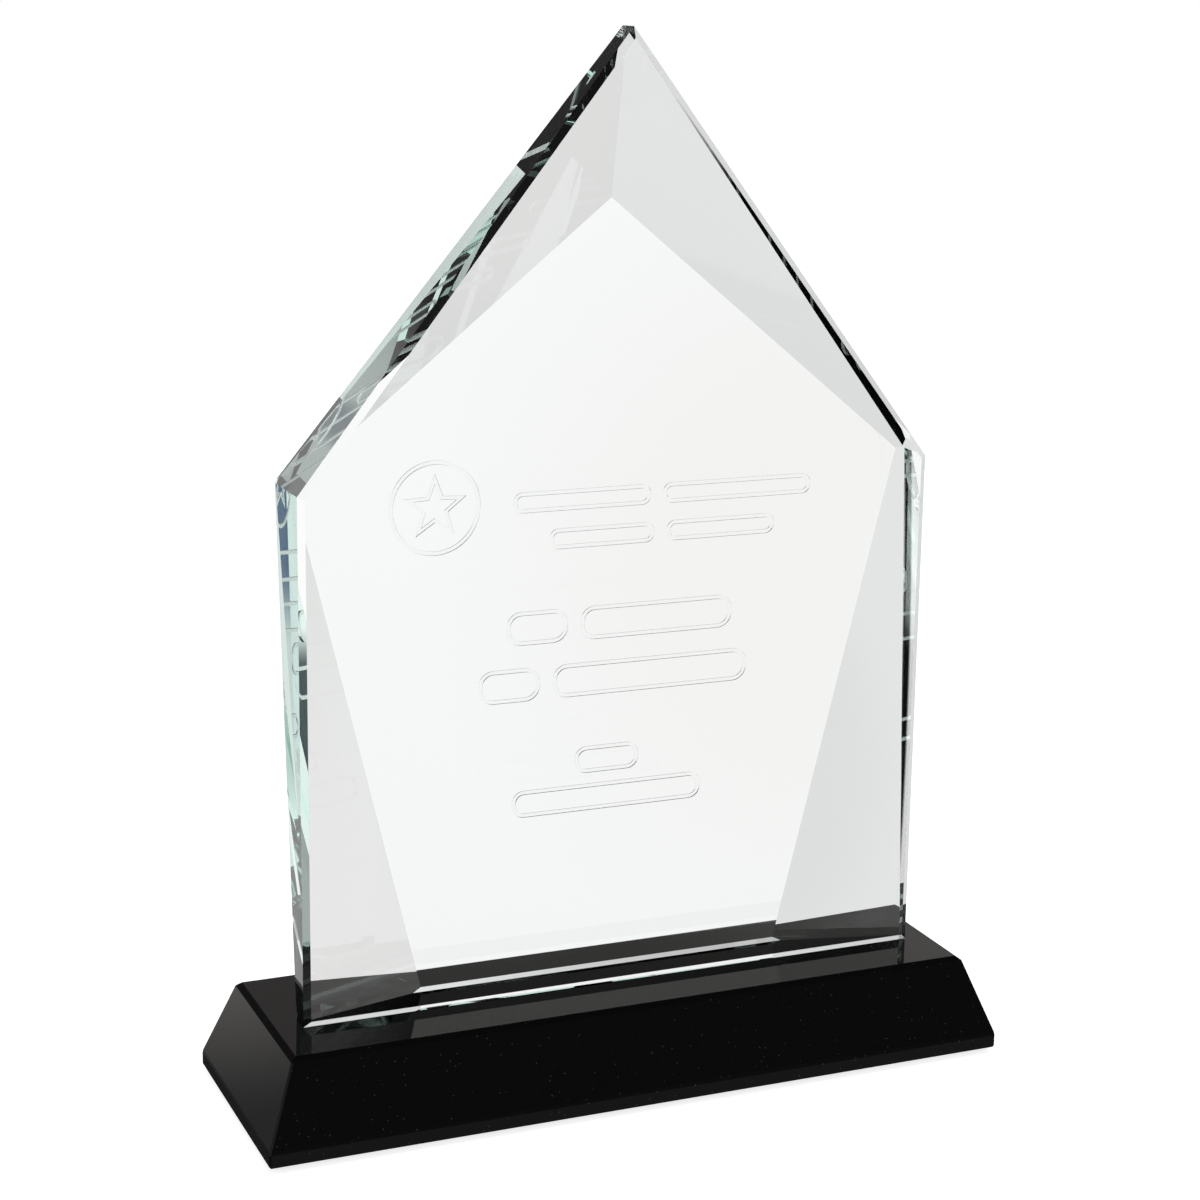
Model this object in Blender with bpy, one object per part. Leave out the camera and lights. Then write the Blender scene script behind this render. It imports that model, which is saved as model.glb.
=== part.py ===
"""Crystal award: a faceted clear crystal plate glued on a black crystal base that stands on four pads.

Metres, +Z up. The origin is at the middle of the footprint, at the height of the surface that the
pads stand on. The plate's flat front faces -Y and its width runs along X.
"""

import math

import bmesh
import bpy
from mathutils import Vector

# Gap kept between two pieces that touch on the real object.
CONTACT_GAP = 0.0003

# Foot pads: thin round stick-on pads, set in from the corners of the base.
PAD_DIAMETER = 0.010
PAD_THICKNESS = 0.0010
PAD_INSET = 0.011
PAD_SIDES = 32

# Base: a low truncated pyramid on a short upright band.
BASE_WIDTH = 0.178
BASE_DEPTH = 0.058
BASE_HEIGHT = 0.0218
BASE_BAND_HEIGHT = 0.0035
BASE_TOP_WIDTH = 0.164
BASE_TOP_DEPTH = 0.046
BASE_TOP_ARRIS = 0.0010
BASE_EDGE_ARRIS = 0.0004

# Plate outline: bottom edge, shoulders and apex, heights measured from the plate's bottom edge.
PLATE_BOTTOM_WIDTH = 0.1505
PLATE_SHOULDER_WIDTH = 0.1505
PLATE_SHOULDER_HEIGHT = 0.118
PLATE_HEIGHT = 0.215
PLATE_THICKNESS = 0.019
PLATE_FRONT_SETBACK = 0.0138
FRONT_CHAMFER = 0.0015

# Flat pentagon left on the back between the ground facets.
FLAT_APEX_HEIGHT = 0.178
FLAT_CORNER_WIDTH = 0.1464
FLAT_CORNER_HEIGHT = 0.118
FLAT_BOTTOM_WIDTH = 0.089

# Edge thickness that the facets leave at the apex and at the bottom corners.
APEX_EDGE = 0.0070
BOTTOM_CORNER_EDGE = 0.0065

# Glue film between the plate and the base.
FILM_THICKNESS = 0.0003
FILM_INSET = 0.0020

PAD_TOP = PAD_THICKNESS
BASE_BOTTOM = PAD_TOP + CONTACT_GAP
BASE_TOP = BASE_BOTTOM + BASE_HEIGHT
FILM_BOTTOM = BASE_TOP + CONTACT_GAP
PLATE_BOTTOM = FILM_BOTTOM + FILM_THICKNESS + CONTACT_GAP
PLATE_FRONT_Y = PLATE_FRONT_SETBACK - BASE_TOP_DEPTH / 2
PLATE_BACK_Y = PLATE_FRONT_Y + PLATE_THICKNESS


def clear_scene():
    for obj in list(bpy.data.objects):
        bpy.data.objects.remove(obj, do_unlink=True)


def material(name, colour, roughness, transmission=0.0, ior=1.5):
    """A Principled material of one colour, clear where transmission is 1."""
    made = bpy.data.materials.new(name)
    made.use_nodes = True
    made.diffuse_color = (*colour, 1.0)
    shader = made.node_tree.nodes["Principled BSDF"]
    shader.inputs["Base Color"].default_value = (*colour, 1.0)
    shader.inputs["Roughness"].default_value = roughness
    shader.inputs["Transmission Weight"].default_value = transmission
    shader.inputs["IOR"].default_value = ior
    return made


def add_object(name, shape, finish):
    """Closes a bmesh into a named object with its faces pointing out."""
    bmesh.ops.recalc_face_normals(shape, faces=shape.faces)
    mesh = bpy.data.meshes.new(name)
    shape.to_mesh(mesh)
    shape.free()
    mesh.materials.append(finish)
    obj = bpy.data.objects.new(name, mesh)
    bpy.context.scene.collection.objects.link(obj)
    return obj


def extrude_outline(outline, direction):
    """A solid from a flat loop of points, pushed along a direction."""
    shape = bmesh.new()
    face = shape.faces.new([shape.verts.new(point) for point in outline])
    grown = bmesh.ops.extrude_face_region(shape, geom=[face])
    new_verts = [item for item in grown["geom"] if isinstance(item, bmesh.types.BMVert)]
    bmesh.ops.translate(shape, verts=new_verts, vec=direction)
    return shape


def rectangle(width, depth, height, centre_y=0.0):
    """Four corners of a level rectangle."""
    x = width / 2
    front = centre_y - depth / 2
    back = centre_y + depth / 2
    return [(-x, front, height), (x, front, height), (x, back, height), (-x, back, height)]


def weigh_base_edges(shape):
    """Gives the four edges of the top face the wide arris and every other edge the narrow one."""
    weight = shape.edges.layers.float.new("bevel_weight_edge")
    for edge in shape.edges:
        at_top = all(vert.co.z > BASE_TOP - BASE_EDGE_ARRIS for vert in edge.verts)
        edge[weight] = 1.0 if at_top else BASE_EDGE_ARRIS / BASE_TOP_ARRIS


def build_black_base(finish):
    """Band extruded up from the footprint, then drawn in to the top face."""
    shape = extrude_outline(
        rectangle(BASE_WIDTH, BASE_DEPTH, BASE_BOTTOM), Vector((0, 0, BASE_BAND_HEIGHT))
    )
    shape.faces.ensure_lookup_table()
    band_top = max(shape.faces, key=lambda face: face.calc_center_median().z)
    grown = bmesh.ops.extrude_face_region(shape, geom=[band_top])
    top_verts = [item for item in grown["geom"] if isinstance(item, bmesh.types.BMVert)]
    for vert in top_verts:
        vert.co.x = math.copysign(BASE_TOP_WIDTH / 2, vert.co.x)
        vert.co.y = math.copysign(BASE_TOP_DEPTH / 2, vert.co.y)
        vert.co.z = BASE_TOP
    bmesh.ops.delete(shape, geom=[band_top], context="FACES_ONLY")
    weigh_base_edges(shape)
    base = add_object("black_base", shape, finish)
    arris = base.modifiers.new("arris", "BEVEL")
    arris.width = BASE_TOP_ARRIS
    arris.segments = 1
    arris.limit_method = "WEIGHT"


def plate_outline(y):
    """The house-shaped outline at one depth, from the bottom left corner round to the left shoulder."""
    bottom = PLATE_BOTTOM_WIDTH / 2
    shoulder = PLATE_SHOULDER_WIDTH / 2
    return [
        Vector((-bottom, y, PLATE_BOTTOM)),
        Vector((bottom, y, PLATE_BOTTOM)),
        Vector((shoulder, y, PLATE_BOTTOM + PLATE_SHOULDER_HEIGHT)),
        Vector((0, y, PLATE_BOTTOM + PLATE_HEIGHT)),
        Vector((-shoulder, y, PLATE_BOTTOM + PLATE_SHOULDER_HEIGHT)),
    ]


def grind_facet(shape, first, second, outer):
    """Cuts the back flat along the plane through two corners of the flat and one outer point."""
    normal = (second - first).cross(outer - first).normalized()
    if normal.y < 0:
        normal.negate()
    geometry = list(shape.verts) + list(shape.edges) + list(shape.faces)
    cut = bmesh.ops.bisect_plane(
        shape, geom=geometry, plane_co=first, plane_no=normal, clear_outer=True
    )
    rim = [item for item in cut["geom_cut"] if isinstance(item, bmesh.types.BMEdge)]
    bmesh.ops.edgenet_fill(shape, edges=rim)


def build_crystal_panel(finish):
    """Full-thickness plate whose back is ground to two upper and two side facets."""
    thickness = Vector((0, PLATE_THICKNESS, 0))
    shape = extrude_outline(plate_outline(PLATE_FRONT_Y), thickness)
    flat_apex = Vector((0, PLATE_BACK_Y, PLATE_BOTTOM + FLAT_APEX_HEIGHT))
    apex = Vector((0, PLATE_FRONT_Y + APEX_EDGE, PLATE_BOTTOM + PLATE_HEIGHT))
    for side in (-1, 1):
        flat_corner = Vector(
            (side * FLAT_CORNER_WIDTH / 2, PLATE_BACK_Y, PLATE_BOTTOM + FLAT_CORNER_HEIGHT)
        )
        flat_bottom = Vector((side * FLAT_BOTTOM_WIDTH / 2, PLATE_BACK_Y, PLATE_BOTTOM))
        bottom_corner = Vector(
            (side * PLATE_BOTTOM_WIDTH / 2, PLATE_FRONT_Y + BOTTOM_CORNER_EDGE, PLATE_BOTTOM)
        )
        grind_facet(shape, flat_apex, flat_corner, apex)
        grind_facet(shape, flat_corner, flat_bottom, bottom_corner)
    chamfer_front(shape)
    add_object("crystal_panel", shape, finish)


def chamfer_front(shape):
    """Small polished chamfer along all five edges of the front face."""
    front_edges = [
        edge
        for edge in shape.edges
        if all(abs(vert.co.y - PLATE_FRONT_Y) < CONTACT_GAP / 10 for vert in edge.verts)
    ]
    bmesh.ops.bevel(
        shape, geom=front_edges, offset=FRONT_CHAMFER, segments=1, profile=0.5, affect="EDGES"
    )


def build_adhesive_film(finish):
    """Clear film of cured glue that fills the joint, a little inside the plate's bottom edge."""
    width = PLATE_BOTTOM_WIDTH - 2 * FILM_INSET
    depth = BOTTOM_CORNER_EDGE - FRONT_CHAMFER
    outline = [
        Vector((-width / 2, PLATE_FRONT_Y + FILM_INSET, FILM_BOTTOM)),
        Vector((width / 2, PLATE_FRONT_Y + FILM_INSET, FILM_BOTTOM)),
        Vector((width / 2, PLATE_FRONT_Y + depth, FILM_BOTTOM)),
        Vector((FLAT_BOTTOM_WIDTH / 2, PLATE_BACK_Y - FILM_INSET, FILM_BOTTOM)),
        Vector((-FLAT_BOTTOM_WIDTH / 2, PLATE_BACK_Y - FILM_INSET, FILM_BOTTOM)),
        Vector((-width / 2, PLATE_FRONT_Y + depth, FILM_BOTTOM)),
    ]
    shape = extrude_outline(outline, Vector((0, 0, FILM_THICKNESS)))
    add_object("adhesive_film", shape, finish)


def build_foot_pad(name, x, y, finish):
    """A thin round pad under one corner of the base."""
    shape = bmesh.new()
    bmesh.ops.create_cone(
        shape,
        cap_ends=True,
        segments=PAD_SIDES,
        radius1=PAD_DIAMETER / 2,
        radius2=PAD_DIAMETER / 2,
        depth=PAD_THICKNESS,
    )
    pad = add_object(name, shape, finish)
    pad.data.shade_smooth()
    pad.data.set_sharp_from_angle(angle=math.radians(40))
    pad.location = (x, y, PAD_THICKNESS / 2)


def build_foot_pads(finish):
    x = BASE_WIDTH / 2 - PAD_INSET
    y = BASE_DEPTH / 2 - PAD_INSET
    for depth_name, sign_y in (("front", -1), ("back", 1)):
        for width_name, sign_x in (("left", -1), ("right", 1)):
            name = f"foot_pad_{depth_name}_{width_name}"
            build_foot_pad(name, sign_x * x, sign_y * y, finish)


clear_scene()
build_black_base(material("black_crystal", (0.006, 0.006, 0.007), 0.03))
build_crystal_panel(material("clear_crystal", (0.96, 0.99, 0.98), 0.0, 1.0, 1.52))
build_adhesive_film(material("cured_glue", (0.95, 0.95, 0.93), 0.08, 1.0, 1.48))
build_foot_pads(material("clear_pad", (0.75, 0.76, 0.75), 0.45))
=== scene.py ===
# %% [markdown]
# # A crystal award, from the plate to the studio
#
# The award is a house-shaped plate of clear optical crystal, ground with four wide facets on its
# back, glued with a film too thin to see on a low block of black crystal, which stands on four
# small clear pads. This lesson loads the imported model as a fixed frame, remakes the pieces whose
# looks need more than the frame gives, and lights them like a product on a white table.

# %% Load the frame
import math

import bpy
from mathutils import Matrix, Vector


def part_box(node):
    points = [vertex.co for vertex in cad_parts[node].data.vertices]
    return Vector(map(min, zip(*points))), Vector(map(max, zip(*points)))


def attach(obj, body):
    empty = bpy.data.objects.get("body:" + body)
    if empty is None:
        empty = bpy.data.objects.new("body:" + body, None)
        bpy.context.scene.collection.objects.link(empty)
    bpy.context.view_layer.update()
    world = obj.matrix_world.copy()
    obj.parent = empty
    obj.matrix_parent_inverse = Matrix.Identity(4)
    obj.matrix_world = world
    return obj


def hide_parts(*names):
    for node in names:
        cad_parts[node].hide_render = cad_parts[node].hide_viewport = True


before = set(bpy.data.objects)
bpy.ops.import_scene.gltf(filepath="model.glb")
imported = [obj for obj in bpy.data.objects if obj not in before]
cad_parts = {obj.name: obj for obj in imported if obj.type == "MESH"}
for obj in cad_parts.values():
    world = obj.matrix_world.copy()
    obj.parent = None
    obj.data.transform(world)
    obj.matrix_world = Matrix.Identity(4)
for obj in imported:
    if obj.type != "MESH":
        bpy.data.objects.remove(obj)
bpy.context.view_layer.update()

# %% [markdown]
# Every operator acts on whatever is selected, and loading leaves the frame's nodes selected. So
# each piece starts from nothing selected. Edges to bevel are picked by a question about their two
# ends, which says more than their numbers would.

# %% Selection helpers


def deselect():
    """Leaves nothing selected and nothing active."""
    bpy.ops.object.select_all(action="DESELECT")
    bpy.context.view_layer.objects.active = None


def pick(obj):
    """Makes one object the only selected one and the active one."""
    deselect()
    obj.select_set(True)
    bpy.context.view_layer.objects.active = obj


def select_edges(obj, wanted):
    """Selects, in edit mode's edge mode, the edges of which wanted(first, second) is true."""
    bpy.ops.object.mode_set(mode="EDIT")
    bpy.ops.mesh.select_mode(type="EDGE")
    bpy.ops.mesh.select_all(action="DESELECT")
    bpy.ops.object.mode_set(mode="OBJECT")
    points = obj.data.vertices
    for edge in obj.data.edges:
        first, second = (points[index].co for index in edge.vertices)
        edge.select = wanted(first, second)
    bpy.ops.object.mode_set(mode="EDIT")


print("selection helpers ready")

# %% [markdown]
# ## Where the plate's corners are
#
# The plate's size comes from the frame. Its outline has five corners, and its back keeps a flat
# pentagon between the facets. Both are read off the frame's own solid: the flat's corners are its
# rearmost points, the shoulders its highest points at full width, and so on.

# %% Read the plate's corners
MM = 0.001
NEAR = 0.05 * MM         # two points closer than this are the same point

plate_low, plate_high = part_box("crystal_panel")
base_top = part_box("black_base")[1].z
corners = [vertex.co.copy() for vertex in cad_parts["crystal_panel"].data.vertices]


def furthest(points, direction):
    """The point that lies furthest along a direction."""
    return max(points, key=lambda point: point.dot(Vector(direction)))


front_y = plate_low.y
back_y = plate_high.y
front_face = [point for point in corners if point.y < front_y + NEAR]
back_flat = [point for point in corners if point.y > back_y - NEAR]
right_edge = [point for point in corners if point.x > plate_high.x - NEAR]
apex_edge = [point for point in corners if point.z > plate_high.z - NEAR]

flat_apex = furthest(back_flat, (0, 0, 1))
flat_corner = furthest(back_flat, (1, 0, 0))
flat_bottom = furthest(back_flat, (0.1, 0, -1))
shoulder = furthest(right_edge, (0, 0, 1))
bottom_corner = furthest(right_edge, (0, 0.5, -1))
apex = furthest(apex_edge, (0, 1, 0))
front_chamfer = plate_high.x - furthest(front_face, (1, 0, 0)).x
print("flat:", flat_apex, flat_corner, flat_bottom)
print("outline:", shoulder, bottom_corner, apex, "chamfer", round(front_chamfer / MM, 2), "mm")

# %% [markdown]
# ## Cutting the plate
#
# A works saws the blank from a slab, grinds the outline, then holds the back against a flat iron
# wheel four times. The faces could be built corner by corner, but a cut is how the real one is
# made and it keeps every face flat. So a box is added at the blank's size, and each pass is one
# bisect that clears what is outside its plane and fills the opening. The plate's bottom sits a
# tenth of a millimetre above the base: that is how thin a cured glue film is.

# %% Cutting helpers
GLUE_THICKNESS = 0.1 * MM
plate_bottom = base_top + GLUE_THICKNESS


def add_block(name, low, high):
    """A box between two corners, with its place in its mesh."""
    deselect()
    bpy.ops.mesh.primitive_cube_add(size=1, location=(low + high) / 2, scale=high - low)
    block = bpy.context.object
    block.name = name
    bpy.ops.object.transform_apply(location=True, rotation=True, scale=True)
    return block


def grind(obj, point, normal):
    """Cuts away what lies beyond a plane and closes the cut."""
    pick(obj)
    bpy.ops.object.mode_set(mode="EDIT")
    bpy.ops.mesh.select_all(action="SELECT")
    bpy.ops.mesh.bisect(plane_co=point, plane_no=normal, use_fill=True, clear_outer=True)
    bpy.ops.object.mode_set(mode="OBJECT")


def plane_normal(first, second, third, outwards):
    """The normal of the plane through three points, on the outer side."""
    normal = (second - first).cross(third - first).normalized()
    return normal if normal.dot(Vector(outwards)) > 0 else -normal


print("the plate stands at", round(plate_bottom / MM, 2), "mm")

# %% [markdown]
# The plate is the same on its left and right. Every cut is worked out for the right, then made
# once as it is and once mirrored.

# %% The blank, its outline and its facets


def as_is(point):
    """The point itself, for the plate's right."""
    return point


def mirrored(point):
    """The same point on the plate's left."""
    return Vector((-point.x, point.y, point.z))


BOTH_SIDES = (as_is, mirrored)

crystal = add_block(
    "crystal_plate",
    Vector((plate_low.x, front_y, plate_bottom)),
    Vector((plate_high.x, back_y, plate_high.z)),
)
roof_behind = Vector((apex.x, apex.y + 1.0, apex.z))
for turn in BOTH_SIDES:
    outer = turn(Vector((1, 0, 1)))
    roof = plane_normal(turn(shoulder), turn(apex), turn(roof_behind), outer)
    grind(crystal, turn(apex), roof)
for turn in BOTH_SIDES:
    upper = plane_normal(flat_apex, turn(flat_corner), apex, (0, 1, 0))
    side = plane_normal(turn(flat_corner), turn(flat_bottom), turn(bottom_corner), (0, 1, 0))
    grind(crystal, turn(flat_corner), upper)
    grind(crystal, turn(flat_corner), side)
print(crystal.name, "has", len(crystal.data.polygons), "ground faces")

# %% [markdown]
# The front is left flat, and the wheel only breaks its five edges with a narrow chamfer, which
# shows as the bright line round the plate. It leans more towards the front than to the side, so a
# plain bevel would not do: each pass is a plane that starts one chamfer's width inside the edge
# and drops back by two thirds of that. The long bottom edge of the flat back has a smaller
# chamfer of its own, which is a bevel.

# %% Front chamfers and back chamfer
CHAMFER_DROP = 0.67
BACK_CHAMFER = 0.9 * MM


def break_front_edge(obj, point, outwards):
    """Grinds the chamfer along the front edge that passes a point and faces outwards."""
    outwards = Vector(outwards).normalized()
    start = Vector((point.x, front_y, point.z)) - outwards * front_chamfer
    slope = math.atan(CHAMFER_DROP)
    normal = Vector((0, -math.cos(slope), 0)) + outwards * math.sin(slope)
    grind(obj, start, normal)


def bevel_edges(obj, wanted, width, segments=1):
    """Bevels the edges of which wanted(first, second) is true."""
    pick(obj)
    select_edges(obj, wanted)
    bpy.ops.mesh.bevel(offset=width, offset_type="OFFSET", segments=segments, affect="EDGES")
    bpy.ops.object.mode_set(mode="OBJECT")


def on_back_bottom(first, second):
    """True for the edge between the flat back and the bottom."""
    low = max(first.z, second.z) < plate_bottom + NEAR
    return low and min(first.y, second.y) > back_y - NEAR


roof_outwards = plane_normal(shoulder, apex, roof_behind, (1, 0, 1))
bevel_edges(crystal, on_back_bottom, BACK_CHAMFER)
break_front_edge(crystal, Vector((0, 0, plate_bottom)), (0, 0, -1))
for turn in BOTH_SIDES:
    break_front_edge(crystal, turn(shoulder), turn(Vector((1, 0, 0))))
    break_front_edge(crystal, turn(shoulder), turn(roof_outwards))
print(crystal.name, "has", len(crystal.data.edges), "edges after its chamfers")

# %% [markdown]
# ## The engraving
#
# Awards are sandblasted through a stencil, which leaves a shallow pocket with a frosted floor. A
# bump in the material would give the grooves no walls to catch the light, so they are cut. Each
# pocket's cutter is a flat outline, inset by the stroke's width, with its middle deleted and the
# rest extruded through the front face.

# %% From an outline to a cutter
ENGRAVING_DEPTH = 0.35 * MM
UPRIGHT = (math.radians(90), 0, 0)


def place_on_front(x, height):
    """A point on the floor of the engraving, from the plate's middle line and its bottom."""
    return Vector((x, front_y + ENGRAVING_DEPTH, plate_bottom + height))


def finish_cutter(name, stroke):
    """Turns the active flat outline into a ring-like solid that straddles the front face."""
    cutter = bpy.context.object
    cutter.name = name
    bpy.ops.object.transform_apply(location=False, rotation=True, scale=True)
    bpy.ops.object.mode_set(mode="EDIT")
    bpy.ops.mesh.select_mode(type="FACE")
    bpy.ops.mesh.select_all(action="SELECT")
    bpy.ops.mesh.inset(thickness=stroke, use_even_offset=True)
    bpy.ops.mesh.delete(type="ONLY_FACE")
    bpy.ops.mesh.select_all(action="SELECT")
    reach = Vector((0, -2 * ENGRAVING_DEPTH, 0))
    bpy.ops.mesh.extrude_region_move(TRANSFORM_OT_translate={"value": reach})
    bpy.ops.mesh.select_all(action="SELECT")
    bpy.ops.mesh.normals_make_consistent(inside=False)
    bpy.ops.object.mode_set(mode="OBJECT")
    bpy.ops.object.transform_apply(location=True, rotation=True, scale=True)
    return cutter


print("pockets are", ENGRAVING_DEPTH / MM, "mm deep")

# %% [markdown]
# The sign is a plain medal: a star in a ring. Both start as a circle, and the star is a circle of
# ten points with every other one drawn in to its waist.

# %% Cutters of the sign
SIGN_X = -45.0 * MM
SIGN_HEIGHT = 114.6 * MM
SIGN_RADIUS = 10.4 * MM
RING_SIDES = 96
RING_STROKE = 0.9 * MM
STAR_RADIUS = 0.72 * SIGN_RADIUS
STAR_POINTS = 5
STAR_WAIST = 0.42
STAR_STROKE = 0.8 * MM


def add_disc(sides, radius):
    """A flat upright disc at the sign's place."""
    deselect()
    bpy.ops.mesh.primitive_circle_add(
        vertices=sides,
        radius=radius,
        fill_type="NGON",
        location=place_on_front(SIGN_X, SIGN_HEIGHT),
        rotation=UPRIGHT,
    )
    return bpy.context.object


def ring_cutter():
    add_disc(RING_SIDES, SIGN_RADIUS)
    return finish_cutter("ring", RING_STROKE)


def star_cutter():
    star = add_disc(2 * STAR_POINTS, STAR_RADIUS)
    for vertex in star.data.vertices:
        if vertex.index % 2:
            vertex.co *= STAR_WAIST
    return finish_cutter("star", STAR_STROKE)


cutters = [ring_cutter(), star_cutter()]
print("the sign has", len(cutters), "cutters")

# %% [markdown]
# Open bars stand where somebody's own words would go. They keep the measure of a usual
# inscription: two small rows beside the sign, two large ones across the middle and two medium
# ones below. A row is given by its height on the plate, where it starts, how tall it is, and the
# lengths of its bars, with one space between bars.

# %% Cutters of the rows
BAR_STROKE = 0.9 * MM
BAR_ROUNDING = 0.45      # of the bar's thickness, so that its ends are nearly half circles
BAR_CORNER_STEPS = 6
WORD_SPACE = 3.0 * MM
ROWS = (
    # height, start, thickness, bar lengths, all in millimetres
    (114.4, -27.0, 4.6, (32.5, 36.5)),
    (105.8, -18.5, 4.6, (25.0, 26.5)),
    (86.2, -28.5, 7.6, (14.5, 37.0)),
    (73.4, -35.0, 7.6, (14.5, 47.5)),
    (54.6, -12.0, 6.2, (15.5,)),
    (45.8, -27.0, 6.2, (46.0,)),
)


def bar_cutter(x, height, length, thickness):
    """A rectangle with its four corners rounded."""
    deselect()
    bpy.ops.mesh.primitive_plane_add(
        size=1, location=place_on_front(x, height), rotation=UPRIGHT
    )
    bpy.context.object.scale = (length, thickness, 1)
    bpy.ops.object.transform_apply(location=False, rotation=False, scale=True)
    bpy.ops.object.mode_set(mode="EDIT")
    bpy.ops.mesh.select_mode(type="VERT")
    bpy.ops.mesh.select_all(action="SELECT")
    rounding = BAR_ROUNDING * thickness
    bpy.ops.mesh.bevel(offset=rounding, segments=BAR_CORNER_STEPS, affect="VERTICES")
    bpy.ops.object.mode_set(mode="OBJECT")
    return finish_cutter("bar", BAR_STROKE)


for height, start, thickness, lengths in ROWS:
    reached = start * MM
    for length in lengths:
        middle = reached + length * MM / 2
        cutters.append(bar_cutter(middle, height * MM, length * MM, thickness * MM))
        reached += length * MM + WORD_SPACE
print(len(cutters), "cutters in all")

# %% [markdown]
# ## Nodes
#
# Materials and the studio's wall are both trees of nodes, and most steps are the same: add a
# node, set some inputs and link others. These helpers do that in one line each. An input gets
# either a value or another node's output.

# %% Node helpers


def feed(node, inputs):
    """Gives a node's inputs, by name or number, a value or another node's output."""
    for name, value in inputs.items():
        if isinstance(value, bpy.types.NodeSocket):
            node.id_data.links.new(value, node.inputs[name])
        else:
            node.inputs[name].default_value = value


def add_node(tree, kind, inputs, **settings):
    node = tree.nodes.new(kind)
    for name, value in settings.items():
        setattr(node, name, value)
    feed(node, inputs)
    return node


def add_math(tree, operation, *values):
    node = add_node(tree, "ShaderNodeMath", dict(enumerate(values)), operation=operation)
    return node.outputs["Value"]


def add_range(tree, value, start, end, low=0.0, high=1.0, soft=False):
    """Runs from low to high while a value runs from start to end, along an S curve if soft."""
    span = {"Value": value, "From Min": start, "From Max": end, "To Min": low, "To Max": high}
    curve = "SMOOTHSTEP" if soft else "LINEAR"
    node = add_node(tree, "ShaderNodeMapRange", span, interpolation_type=curve)
    return node.outputs["Result"]


def add_mix(tree, factor, first, second):
    """A colour that runs from the first to the second while the factor runs from 0 to 1."""
    inputs = {"Factor": factor, "A": first, "B": second}
    return add_node(tree, "ShaderNodeMix", inputs, data_type="RGBA").outputs["Result"]


print("node helpers ready")

# %% [markdown]
# ## Marks of handling
#
# Polished glass and crystal are never blank close up: they carry faint smudges where they were
# held and a few specks of dust. Both the plate and the base show them, so the effect is one node
# group. It gives two masks, and each material decides what a smudge or a speck does to it.

# %% The handling group
SMUDGE_SHAPE = {"Detail": 6.0, "Roughness": 0.62, "Distortion": 1.2}
SMUDGE_RANGE = (0.50, 0.78)
SPECK_RANGE = (0.10, 0.06)


def build_handling_group():
    """Inputs: the scales of smudges and specks. Outputs: their masks, from 0 to 1."""
    group = bpy.data.node_groups.new("handling marks", "ShaderNodeTree")
    new_socket = group.interface.new_socket
    for name, usual in (("Smudge Scale", 40.0), ("Speck Scale", 900.0)):
        socket = new_socket(name=name, in_out="INPUT", socket_type="NodeSocketFloat")
        socket.default_value = usual
    for name in ("Smudges", "Specks"):
        new_socket(name=name, in_out="OUTPUT", socket_type="NodeSocketFloat")
    scales = group.nodes.new("NodeGroupInput").outputs
    place = group.nodes.new("ShaderNodeTexCoord").outputs["Object"]
    smear_inputs = {"Vector": place, "Scale": scales["Smudge Scale"], **SMUDGE_SHAPE}
    smear = add_node(group, "ShaderNodeTexNoise", smear_inputs)
    speck_inputs = {"Vector": place, "Scale": scales["Speck Scale"]}
    speck = add_node(group, "ShaderNodeTexVoronoi", speck_inputs)
    masks = {
        "Smudges": add_range(group, smear.outputs["Fac"], *SMUDGE_RANGE, soft=True),
        "Specks": add_range(group, speck.outputs["Distance"], *SPECK_RANGE),
    }
    add_node(group, "NodeGroupOutput", masks)
    return group


handling_marks = build_handling_group()
print("group", handling_marks.name, "built")

# %% [markdown]
# ## Finishes
#
# Each material is a Principled shader. What is the same all over the surface is set on the
# shader's own sockets. What changes over the surface comes from nodes on Object coordinates.

# %% Material helpers


def new_material(name, colour, roughness, ior):
    """A Principled material, and its shader for setting more."""
    material = bpy.data.materials.new(name)
    material.use_nodes = True
    material.diffuse_color = (*colour, 1.0)
    shader = material.node_tree.nodes["Principled BSDF"]
    feed(shader, {"Base Color": (*colour, 1.0), "Roughness": roughness, "IOR": ior})
    return material, shader


def add_marks(material, smudge_scale, speck_scale):
    """The two masks of the handling group, placed in a material with its own values."""
    scales = {"Smudge Scale": smudge_scale, "Speck Scale": speck_scale}
    kind = "ShaderNodeGroup"
    return add_node(material.node_tree, kind, scales, node_tree=handling_marks).outputs


def spread(material, mask, low, high):
    """A value that runs from low to high while a mask runs from 0 to 1."""
    return add_range(material.node_tree, mask, 0.0, 1.0, low, high)


print("material helpers ready")

# %% [markdown]
# Optical crystal is clear all the way through, with a refractive index of 1.52. Iron traces in
# the melt take a little red out of the light, which is invisible across the plate's thickness and
# gives a faint green along its length. So the colour is a volume absorption, not a surface tint.
# The wheel-cut facets are felt-polished by hand, and a grey base colour on them is painted shade
# that makes them darker than the flat faces.
# The sandblasted pockets are the same crystal with a rough skin. Light must leave a volume through
# the material it came in by, so facets and pockets can't have their own: the one crystal material
# reads them from two attributes, which are 1 on their faces.

# %% Optical crystal
GLASS_IOR = 1.52
SMUDGED_ROUGHNESS = 0.006
FACET_MASK = "facet"
# Painted shade: a grey base colour that makes the facets look darker than the flat faces.
FACET_PAINTED_SHADE = (0.672, 0.672, 0.672, 1.0)
CLEAR = (1.0, 1.0, 1.0, 1.0)
FROST_MASK = "frost"
FROST_ROUGHNESS = 0.30
IRON_GREEN = {"Color": (0.62, 0.94, 0.84, 1.0), "Density": 3.0}


def read_mask(tree, name):
    """A face mask's value, from the mesh attribute of that name."""
    return add_node(tree, "ShaderNodeAttribute", {}, attribute_name=name).outputs["Fac"]


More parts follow.
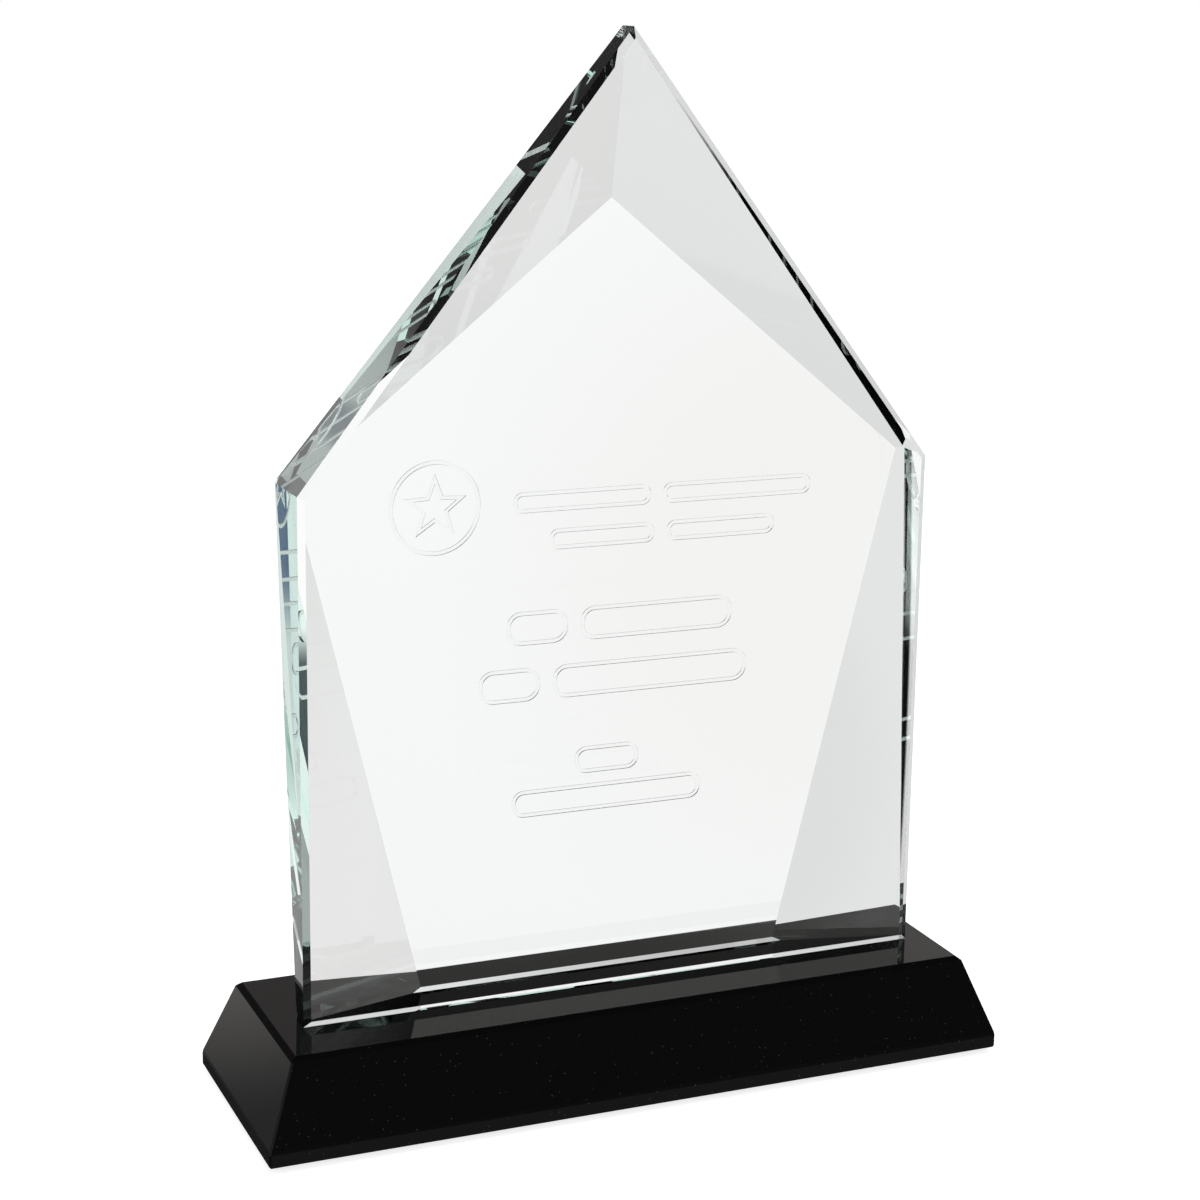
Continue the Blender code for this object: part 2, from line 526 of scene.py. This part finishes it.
def build_clear_crystal():
    material, shader = new_material("optical crystal", (1.0, 1.0, 1.0), roughness=0.0, ior=GLASS_IOR)
    tree = material.node_tree
    marks = add_marks(material, smudge_scale=30.0, speck_scale=700.0)
    polish = spread(material, marks["Smudges"], 0.0, SMUDGED_ROUGHNESS)
    frost = spread(material, read_mask(tree, FROST_MASK), 0.0, FROST_ROUGHNESS)
    roughness = add_math(tree, "MAXIMUM", polish, frost)
    # The facets' grey base colour is painted shade that darkens what is seen through them.
    facet_shade_colour = add_mix(tree, read_mask(tree, FACET_MASK), CLEAR, FACET_PAINTED_SHADE)
    feed(shader, {"Transmission Weight": 1.0, "Roughness": roughness, "Base Color": facet_shade_colour})
    absorb = add_node(tree, "ShaderNodeVolumeAbsorption", IRON_GREEN)
    feed(tree.nodes["Material Output"], {"Volume": absorb.outputs["Volume"]})
    return material


clear_crystal = build_clear_crystal()
print(clear_crystal.name, "has", len(clear_crystal.node_tree.nodes), "nodes")

# %% [markdown]
# Seen through the crystal, the plate's bottom is as black as the base it is glued to, except to
# light that skims it: the glue is a little less dense than crystal and turns such light back. A
# black metal whose tint is grey at grazing angles does both.

# %% The glued face
SKIMMED = (0.45, 0.45, 0.45, 1.0)


def build_glued_face():
    black = (0.006, 0.006, 0.007)
    material, shader = new_material("glued face on black", black, roughness=0.02, ior=GLASS_IOR)
    feed(shader, {"Metallic": 1.0, "Specular Tint": SKIMMED})
    return material


glued_face = build_glued_face()
print(glued_face.name, "ready")

# %% [markdown]
# ## Cutting the pockets
#
# One Boolean cuts all the pockets at once. It would leave no trace of which faces are new, so the
# stencil of joined cutters carries a throw-away material, and the faces that come out with it are
# the frosted ones.

# %% Cut the pockets


def join(objects, name):
    """Joins objects into the first one."""
    pick(objects[0])
    for obj in objects[1:]:
        obj.select_set(True)
    bpy.ops.object.join()
    joined = bpy.context.object
    joined.name = name
    return joined


stencil = join(cutters, "engraving_cutter")
stencil_mark = bpy.data.materials.new("stencil mark")
stencil.data.materials.append(stencil_mark)
crystal.data.materials.append(clear_crystal)
pick(crystal)
cut = crystal.modifiers.new("engraving", "BOOLEAN")
cut.operation = "DIFFERENCE"
cut.solver = "EXACT"
cut.material_mode = "TRANSFER"
cut.object = stencil
bpy.ops.object.modifier_apply(modifier=cut.name)
bpy.data.objects.remove(stencil, do_unlink=True)

pocket_faces = {face.index for face in crystal.data.polygons if face.material_index == 1}
for face in crystal.data.polygons:
    face.material_index = 0
crystal.data.materials.pop(index=1)
bpy.data.materials.remove(stencil_mark)
print(len(pocket_faces), "pocket faces")

# %% [markdown]
# The glued face gets its own material slot. The frosted pockets and the facets get their masks. A
# facet is told by its normal: it points almost straight back, but not quite, as the flat's does.

# %% Dress the plate
STRAIGHT_DOWN = -0.99
FACET_BACKWARDS = (0.9, 0.9999)


def dress(obj, material, wanted):
    """Gives one more material to the faces of which wanted(face) is true."""
    obj.data.materials.append(material)
    for face in obj.data.polygons:
        if wanted(face):
            face.material_index = len(obj.data.materials) - 1


def add_face_mask(obj, name, wanted):
    """An attribute that is 1 on the faces of which wanted(face) is true and 0 on the others."""
    mask = obj.data.attributes.new(name, "FLOAT", "FACE")
    for face in obj.data.polygons:
        mask.data[face.index].value = wanted(face)


def on_glue(face):
    return face.normal.z < STRAIGHT_DOWN and face.center.z < plate_bottom + NEAR


def on_facet(face):
    return FACET_BACKWARDS[0] < face.normal.y < FACET_BACKWARDS[1]


dress(crystal, glued_face, on_glue)
add_face_mask(crystal, FROST_MASK, lambda face: face.index in pocket_faces)
add_face_mask(crystal, FACET_MASK, on_facet)
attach(crystal, "root")
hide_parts("crystal_panel")
print([slot.name for slot in crystal.data.materials], len(crystal.data.polygons), "faces")

# %% [markdown]
# ## The glue film
#
# The joint is filled by a film of clear cured glue, wiped back a little from the plate's edge. It
# is a thin block, cut along the same slanted sides as the plate's own bottom.

# %% Glue film
GLUE_INSET = 1.6 * MM


def build_cured_glue():
    material, shader = new_material("cured clear glue", (0.95, 0.96, 0.93), roughness=0.08, ior=1.48)
    marks = add_marks(material, smudge_scale=120.0, speck_scale=900.0)
    roughness = spread(material, marks["Smudges"], low=0.05, high=0.35)
    feed(shader, {"Transmission Weight": 1.0, "Roughness": roughness})
    return material


film_low, film_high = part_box("adhesive_film")
glue = add_block(
    "glue_film",
    Vector((film_low.x, film_low.y, base_top)),
    Vector((film_high.x, film_high.y, plate_bottom)),
)
for turn in BOTH_SIDES:
    side = plane_normal(turn(flat_corner), turn(flat_bottom), turn(bottom_corner), (0, 1, 0))
    grind(glue, turn(flat_bottom) - side * GLUE_INSET, side)
glue.data.materials.append(build_cured_glue())
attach(glue, "root")
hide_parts("adhesive_film")
print(glue.name, "is", round(GLUE_THICKNESS / MM, 2), "mm thick")

# %% [markdown]
# ## The black base
#
# The base's shape is right as it is in the frame, so it keeps its mesh and gets its finish: black
# crystal, which reflects like a still pond. Smudges dull it a little, and specks of dust show on
# black more than on anything else.

# %% Black crystal
DEEP_BLACK = (0.004, 0.004, 0.0045)
DUST_GREY = (0.05, 0.05, 0.05, 1.0)


def build_black_crystal():
    material, shader = new_material("black crystal", DEEP_BLACK, roughness=0.03, ior=GLASS_IOR)
    marks = add_marks(material, smudge_scale=36.0, speck_scale=620.0)
    roughness = spread(material, marks["Smudges"], low=0.02, high=0.10)
    dusty = add_mix(material.node_tree, marks["Specks"], (*DEEP_BLACK, 1.0), DUST_GREY)
    feed(shader, {"Roughness": roughness, "Base Color": dusty})
    return material


black_crystal = build_black_crystal()
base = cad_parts["black_base"]
base.data.materials.clear()
base.data.materials.append(black_crystal)
print(base.name, "has", black_crystal.name)

# %% [markdown]
# ## The pads
#
# Four stick-on pads of clear soft plastic keep the base off the table. Each is a cylinder of the
# frame's own size, with the lower rim rounded, as soft plastic is when it is cast.

# %% Pads
PAD_SIDES = 64
PAD_RIM = 0.3 * MM
PAD_RIM_STEPS = 4
SHARP_ANGLE = math.radians(35)


def build_pad_plastic():
    material, shader = new_material("clear soft plastic", (0.80, 0.81, 0.80), roughness=0.4, ior=1.5)
    marks = add_marks(material, smudge_scale=200.0, speck_scale=1500.0)
    roughness = spread(material, marks["Smudges"], low=0.35, high=0.6)
    feed(shader, {"Transmission Weight": 0.6, "Roughness": roughness})
    return material


def add_pad(node, plastic):
    """A round pad at a frame node's place, with its lower rim rounded."""
    low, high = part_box(node)
    deselect()
    bpy.ops.mesh.primitive_cylinder_add(
        vertices=PAD_SIDES,
        radius=(high.x - low.x) / 2,
        depth=high.z - low.z,
        location=(low + high) / 2,
    )
    pad = bpy.context.object
    pad.name = node.replace("foot_pad", "soft_pad")
    bpy.ops.object.transform_apply(location=True, rotation=True, scale=True)
    lower_rim = low.z + NEAR
    bevel_edges(pad, lambda *ends: max(end.z for end in ends) < lower_rim, PAD_RIM, PAD_RIM_STEPS)
    bpy.ops.object.shade_smooth_by_angle(angle=SHARP_ANGLE)
    pad.data.materials.append(plastic)
    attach(pad, "root")
    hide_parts(node)
    return pad


pad_plastic = build_pad_plastic()
for node in sorted(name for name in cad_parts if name.startswith("foot_pad")):
    print("added", add_pad(node, pad_plastic).name)

# %% [markdown]
# ## The table
#
# The award stands on a diffuse white that glows a little, as white acrylic lit from below does,
# so the eye sees a clean white surface with a soft shadow at the base. Crystal and mirror see the
# studio's own wall instead of it.

# %% Table top
FLOOR_SIZE = 8.0
TABLE_GLOW = 0.80

deselect()
bpy.ops.mesh.primitive_plane_add(size=FLOOR_SIZE, location=(0, 0, 0))
floor = bpy.context.object
floor.name = "table_top"
white = (0.85, 0.85, 0.85)
table_white, table_shader = new_material("white table", white, roughness=0.6, ior=1.45)
table_glow = {"Emission Color": (1.0, 1.0, 1.0, 1.0), "Emission Strength": TABLE_GLOW}
feed(table_shader, {"Specular IOR Level": 0.0, **table_glow})
floor.data.materials.append(table_white)
floor.visible_transmission = False
floor.visible_glossy = False
print(floor.name, "is", FLOOR_SIZE, "m wide")

# %% [markdown]
# ## The studio
#
# Clear crystal on white has no colour of its own: it is drawn by what it bends and mirrors. A
# studio shoots it in a white tent, with dark cards just out of sight that put crisp dark lines
# into the cut edges. Black crystal wants the opposite, a dark room with a few soft lights. Here
# each gets its own wall, painted by direction, so that both look right side by side. A card is
# round with a soft rim, or an upright strip where its half width is less than its radius.

# %% Cards on a wall
STRIP_RIM = 0.4          # of the strip's half width


def look(azimuth, elevation):
    """A direction: azimuth in degrees from the back towards the right, elevation above level."""
    turn = math.radians(azimuth)
    rise = math.radians(elevation)
    return (math.sin(turn) * math.cos(rise), math.cos(turn) * math.cos(rise), math.sin(rise))


def add_dot(tree, way, axis):
    """How far a direction lies along an axis, from -1 to 1."""
    inputs = {0: way, 1: axis}
    return add_node(tree, "ShaderNodeVectorMath", inputs, operation="DOT_PRODUCT").outputs["Value"]


def add_card(tree, ground, way, card):
    """A card over what is already on the wall."""
    azimuth, elevation, radius, rim, half_width, colour = card
    outside = math.cos(math.radians(radius + rim))
    inside = math.cos(math.radians(max(radius - rim, 0)))
    towards = add_dot(tree, way, look(azimuth, elevation))
    mask = add_range(tree, towards, outside, inside, soft=True)
    if half_width < radius:
        aside = add_math(tree, "ABSOLUTE", add_dot(tree, way, look(azimuth + 90, 0)))
        outside = math.radians(half_width * (1 + STRIP_RIM))
        inside = math.radians(half_width * (1 - STRIP_RIM))
        strip = add_range(tree, aside, outside, inside, soft=True)
        mask = add_math(tree, "MULTIPLY", mask, strip)
    return add_mix(tree, mask, ground, (*colour, 1.0))


print("cards are ready to hang")

# %% [markdown]
# Under its cards a wall is grey by height: a ramp from straight down to straight up.

# %% A wall


def grey(brightness):
    return (brightness, brightness, brightness)


def add_ramp(tree, value, stops):
    """A colour ramp of greys, given as pairs of place and brightness."""
    node = add_node(tree, "ShaderNodeValToRGB", {"Fac": value})
    ramp = node.color_ramp
    while len(ramp.elements) < len(stops):
        ramp.elements.new(1.0)
    for element, (place, brightness) in zip(ramp.elements, stops):
        element.position = place
        element.color = (*grey(brightness), 1.0)
    return node.outputs["Color"]


def add_wall(tree, way, heights, cards):
    """A background shader: grey by height, with its cards."""
    rise = add_node(tree, "ShaderNodeSeparateXYZ", {"Vector": way}).outputs["Z"]
    colour = add_ramp(tree, add_range(tree, rise, -1.0, 1.0), heights)
    for card in cards:
        colour = add_card(tree, colour, way, card)
    return add_node(tree, "ShaderNodeBackground", {"Color": colour}).outputs["Background"]


print("walls are ready to paint")

# %% [markdown]
# The tent is what light meets that has come through the crystal: white all round, dark overhead.
# Behind the award three cards shade the facets and the top of the base. The cards to the right
# and left make the dark, grey, blue and bright lines in the edges. The room is what light meets
# that was mirrored last: dark, with soft lights on every side, so that black looks polished.

# %% The tent and the room
BLACK = grey(0.0)
WHITE = grey(1.0)
# Each card: azimuth, elevation, radius, rim and half width in degrees, colour.
TENT_HEIGHTS = ((0.0, 0.85), (0.2, 0.93), (0.4, 0.99), (0.58, 0.99), (0.62, 0.05), (1.0, 0.02))
TENT_CARDS = (
    (28, -13, 5.0, 4.5, 5, (0.955, 0.938, 0.930)),
    (36, -16, 4.5, 3.0, 5, (1.04, 1.02, 1.02)),
    (24, 24, 15.0, 7.0, 15, (0.36, 0.35, 0.34)),
    (-17, -50, 8.0, 1.5, 8, BLACK),
    (66, -38, 8.0, 3.0, 8, grey(0.38)),
    (66.7, -39.5, 0.4, 0.3, 2, (0.03, 0.05, 0.08)),
    (70, -6.5, 4.0, 1.0, 4, (0.05, 0.13, 0.26)),
    (51.5, -5.0, 1.6, 0.5, 2, (0.05, 0.06, 0.07)),
    (146, 3, 8.0, 3.0, 8, grey(0.42)),
    (-62, -10, 5.0, 1.0, 5, grey(1.8)),
    (-62, -10, 9.0, 2.0, 0.5, BLACK),
    (-99, 0, 4.5, 1.0, 5, BLACK),
    (-134, -1, 4.5, 1.0, 5, BLACK),
    (-152, 7, 5.0, 1.0, 5, BLACK),
)
ROOM_HEIGHTS = ((0.0, 0.05), (0.5, 0.02), (1.0, 0.02))
ROOM_CARDS = (
    (22, 20, 26.0, 16.0, 26, (0.20, 0.19, 0.185)),
    (38, 18, 8.0, 6.0, 8, (0.45, 0.44, 0.43)),
    (-26, -9, 8.0, 4.0, 8, grey(0.12)),
    (-23, -4, 4.0, 3.0, 4, (0.60, 0.58, 0.55)),
    (-15, -14, 6.0, 2.0, 6, (0.25, 0.26, 0.27)),
    (-16.5, -20.5, 2.4, 0.8, 3, grey(0.90)),
    (-15, 11.5, 4.0, 2.0, 4, WHITE),
    (156, -28, 14.0, 8.0, 14, grey(0.12)),
    (-62, 20, 20.0, 13.0, 20, grey(0.30)),
    (-130, 12, 24.0, 15.0, 24, grey(0.30)),
    (68, 20, 14.0, 8.0, 14, grey(0.30)),
    (112, 14, 18.0, 10.0, 18, grey(0.22)),
    (-175, 30, 12.0, 8.0, 12, grey(0.40)),
)
print("the tent has", len(TENT_CARDS), "cards, the room", len(ROOM_CARDS))

# %% [markdown]
# The world picks a wall by what the light did last. Light that came through the crystal meets the
# tent, and light that was mirrored meets the room. Diffuse surfaces get plain soft light, and the
# eye itself sees plain white.

# %% The world
SKY_LIGHT = 0.45


def add_plain_light(tree, strength):
    inputs = {"Color": (1.0, 1.0, 1.0, 1.0), "Strength": strength}
    return add_node(tree, "ShaderNodeBackground", inputs).outputs["Background"]


def add_choice(tree, question, no, yes):
    """One shader or another, by the answer to a question about the light's path."""
    inputs = {"Fac": question, 1: no, 2: yes}
    return add_node(tree, "ShaderNodeMixShader", inputs).outputs["Shader"]


def build_world():
    world = bpy.data.worlds.new("studio")
    bpy.context.scene.world = world
    world.use_nodes = True
    tree = world.node_tree
    tree.nodes.clear()
    path = tree.nodes.new("ShaderNodeLightPath").outputs
    way = tree.nodes.new("ShaderNodeTexCoord").outputs["Generated"]
    room = add_wall(tree, way, ROOM_HEIGHTS, ROOM_CARDS)
    tent = add_wall(tree, way, TENT_HEIGHTS, TENT_CARDS)
    seen = add_choice(tree, path["Is Diffuse Ray"], room, add_plain_light(tree, SKY_LIGHT))
    seen = add_choice(tree, path["Is Transmission Ray"], seen, tent)
    seen = add_choice(tree, path["Is Camera Ray"], seen, add_plain_light(tree, 1.0))
    add_node(tree, "ShaderNodeOutputWorld", {"Surface": seen})
    return world


print("world", build_world().name)

# %% [markdown]
# Light that comes in at the plate's edge is thrown to and fro between the faces many times before
# it gets out. The usual limit of four reflections would leave those edges black, so it is raised.

# %% Light paths
BOUNCES = 24

light_paths = bpy.context.scene.cycles
light_paths.max_bounces = BOUNCES
light_paths.glossy_bounces = BOUNCES
light_paths.transmission_bounces = BOUNCES
print("reflections followed:", light_paths.glossy_bounces)

# %% [markdown]
# One wide lamp overhead gives the soft shadow at the base. Mirrors don't show it, because it would
# lie as a grey patch on the base's front slope.

# %% Overhead lamp
LAMP_PLACE = (0.3, 0.2, 1.4)
LAMP_SIZE = (1.2, 1.0)
LAMP_WATTS = 3.0

deselect()
bpy.ops.object.light_add(type="AREA", location=LAMP_PLACE)
top_light = bpy.context.object
top_light.name = "overhead_softbox"
top_light.data.shape = "RECTANGLE"
top_light.data.size, top_light.data.size_y = LAMP_SIZE
top_light.data.energy = LAMP_WATTS
top_light.visible_glossy = False
print(top_light.name, top_light.data.energy, "W")

# %% [markdown]
# ## The camera
#
# The camera stands a little over half a metre away, to the left, looking slightly down. It is
# placed by one matrix: turned about the upright, tipped down, and rolled by less than a degree.

# %% Camera
CAMERA_PLACE = Vector((-0.22115, -0.51674, 0.25028))
CAMERA_YAW = 22.88
CAMERA_PITCH = 12.81
CAMERA_ROLL = 0.79
CAMERA_LENS = 76.87
CAMERA_SHIFT = (0.0013, -0.0387)

deselect()
bpy.ops.object.camera_add()
camera = bpy.context.object
camera.name = "camera"
camera.matrix_world = (
    Matrix.Translation(CAMERA_PLACE)
    @ Matrix.Rotation(math.radians(-CAMERA_YAW), 4, "Z")
    @ Matrix.Rotation(math.radians(90 - CAMERA_PITCH), 4, "X")
    @ Matrix.Rotation(math.radians(CAMERA_ROLL), 4, "Z")
)
camera.data.lens = CAMERA_LENS
camera.data.sensor_width = 36.0
camera.data.shift_x, camera.data.shift_y = CAMERA_SHIFT
camera.data.clip_start = 0.01
camera.data.clip_end = 50.0
bpy.context.scene.camera = camera
bpy.context.scene.view_settings.view_transform = "Standard"
bpy.context.scene.view_settings.look = "None"
print("camera", tuple(round(value, 3) for value in camera.location), CAMERA_LENS, "mm")
